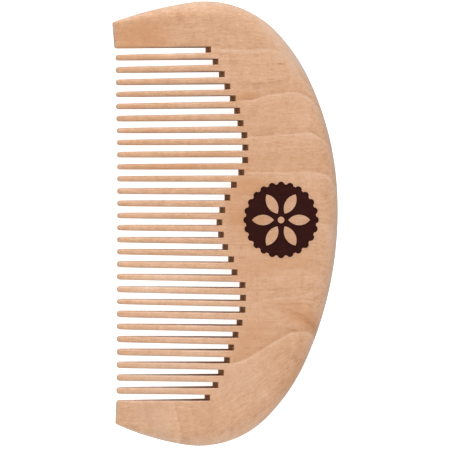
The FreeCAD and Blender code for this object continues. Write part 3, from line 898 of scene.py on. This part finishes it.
    # painted shade deep in the slot ends: a darker brown that fades out along the walls towards the tips
    slot_shade = g.attribute("slot_shade")
    slot_shade_noise = g.noise(p, (1.4, 1.4, 0.16), 2.0, 0.6)
    painted_slot_shade = g.math("MULTIPLY", slot_shade, g.add(0.92, g.mul(slot_shade_noise, 0.35)), clamp=True)
    slot_shade_colour = g.mix(g.step(slot_shade_noise, -0.2, 0.25), (0.46, 0.198, 0.052), (0.60, 0.272, 0.080))
    colour = g.mix(painted_slot_shade, colour, slot_shade_colour)
    g.put(g.shader.inputs["Base Color"], colour)

    rough = g.add(0.50, g.mul(mottle, 0.16), g.mul(fibre, 0.18), g.mul(dash, 0.10), g.mul(painted_slot_shade, 0.30))
    g.put(g.shader.inputs["Roughness"], rough)
    g.shader.inputs["Specular IOR Level"].default_value = 0.34

    saw = g.mul(g.noise(p, (5.0, 5.0, 0.4), 2.0, 0.6), g.attribute("kerf"))
    height = g.add(g.mul(fibre, 0.55), g.mul(dash, 0.35), g.mul(streak, 0.25), g.mul(pores, -0.5), g.mul(saw, 1.2))
    g.bump(height, 0.35, 0.00012)
    return g.material


def char_material():
    g = Graph("burned_wood")
    p = g.place()
    x, y, z = g.split(p)
    raster = g.math("SINE", g.mul(y, 2 * math.pi / 0.24))
    cloud = g.noise(p, (0.35, 0.5, 0.5), 3.0, 0.6)
    grain = g.noise(p, (0.30, 5.0, 5.0), 2.0, 0.6)
    tone = g.add(0.5, g.mul(raster, 0.07), g.mul(cloud, 0.7), g.mul(grain, 0.55))
    colour = g.ramp(tone, [(0.0, (0.020, 0.004, 0.003)), (0.5, (0.035, 0.0072, 0.0058)), (1.0, (0.062, 0.017, 0.012))],
                    "LINEAR")
    g.put(g.shader.inputs["Base Color"], colour)
    g.put(g.shader.inputs["Roughness"], g.add(0.72, g.mul(cloud, 0.25)))
    g.shader.inputs["Specular IOR Level"].default_value = 0.06
    g.bump(g.add(g.mul(raster, 0.5), g.mul(grain, 0.8), g.mul(cloud, 0.6)), 0.5, 0.00010)
    return g.material


comb.data.materials.append(wood_material())
charred = char_material()
mark_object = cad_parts["burned_mark"]
if not mark_object.material_slots:
    mark_object.data.materials.append(None)
for one in mark_object.material_slots:
    one.material = charred


# ------------------------------------------------------------------ floor, light and camera


def floor_material(name, base, glow):
    g = Graph(name)
    g.shader.inputs["Base Color"].default_value = (base, base, base, 1.0)
    g.shader.inputs["Roughness"].default_value = 0.9
    g.shader.inputs["Specular IOR Level"].default_value = 0.0
    g.shader.inputs["Emission Color"].default_value = (1.0, 1.0, 1.0, 1.0)
    g.shader.inputs["Emission Strength"].default_value = glow
    return g.material


def table(name, z, base, glow):
    half = 2.0
    sheet = bpy.data.meshes.new(name)
    sheet.from_pydata([(-half, -half, z), (half, -half, z), (half, half, z), (-half, half, z)], [], [(0, 1, 2, 3)])
    sheet.materials.append(floor_material(name, base, glow))
    plane = bpy.data.objects.new(name, sheet)
    bpy.context.scene.collection.objects.link(plane)
    return plane


# The bright table top is only seen; a dull one at its place gives the comb the soft bounce of a table.
bright = table("table", -0.0001, 0.80, 0.86)
bright.visible_diffuse = False
bright.visible_glossy = False
bright.visible_transmission = False
bright.visible_shadow = False
bounce = table("table_bounce", -0.0002, 0.06, 0.70)
bounce.visible_camera = False

world = bpy.data.worlds.new("studio")
bpy.context.scene.world = world
world.use_nodes = True
world.node_tree.nodes["Background"].inputs[0].default_value = (1.0, 1.0, 1.0, 1.0)
world.node_tree.nodes["Background"].inputs[1].default_value = 0.66


def area_light(name, at, size, power, colour=(1.0, 1.0, 1.0), aim=(0.0, 0.0, 0.005)):
    data = bpy.data.lights.new(name, "AREA")
    data.shape = "SQUARE"
    data.size = size
    data.energy = power
    data.color = colour
    light = bpy.data.objects.new(name, data)
    light.location = at
    light.rotation_euler = (Vector(aim) - Vector(at)).to_track_quat("-Z", "Y").to_euler()
    bpy.context.scene.collection.objects.link(light)
    return light


area_light("key_softbox", (-0.20, 0.93, 0.30), 0.45, 5.6)
area_light("low_softbox", (0.25, -0.86, 0.26), 0.45, 1.8)
area_light("side_softbox", (-0.95, 0.05, 0.24), 0.45, 0.8)
area_light("top_softbox", (-0.10, 0.0, 1.30), 0.80, 1.9)

CAMERA = Vector((-154.931, 13.179, 972.663)) * MM
TARGET = Vector((0.0634, -0.6215, 5.0)) * MM
data = bpy.data.cameras.new("camera")
data.sensor_width = 36.0
data.lens = 301.66
data.clip_start = 0.01
data.clip_end = 20.0
camera = bpy.data.objects.new("camera", data)
back = (CAMERA - TARGET).normalized()
right = Vector((0, 1, 0)).cross(back).normalized()
up_axis = back.cross(right)
camera.matrix_world = Matrix((
    (right.x, up_axis.x, back.x, CAMERA.x),
    (right.y, up_axis.y, back.y, CAMERA.y),
    (right.z, up_axis.z, back.z, CAMERA.z),
    (0, 0, 0, 1),
))
bpy.context.scene.collection.objects.link(camera)
bpy.context.scene.camera = camera

view = bpy.context.scene.view_settings
view.view_transform = "Standard"
view.look = "None"
view.exposure = 0.0
view.gamma = 1.0
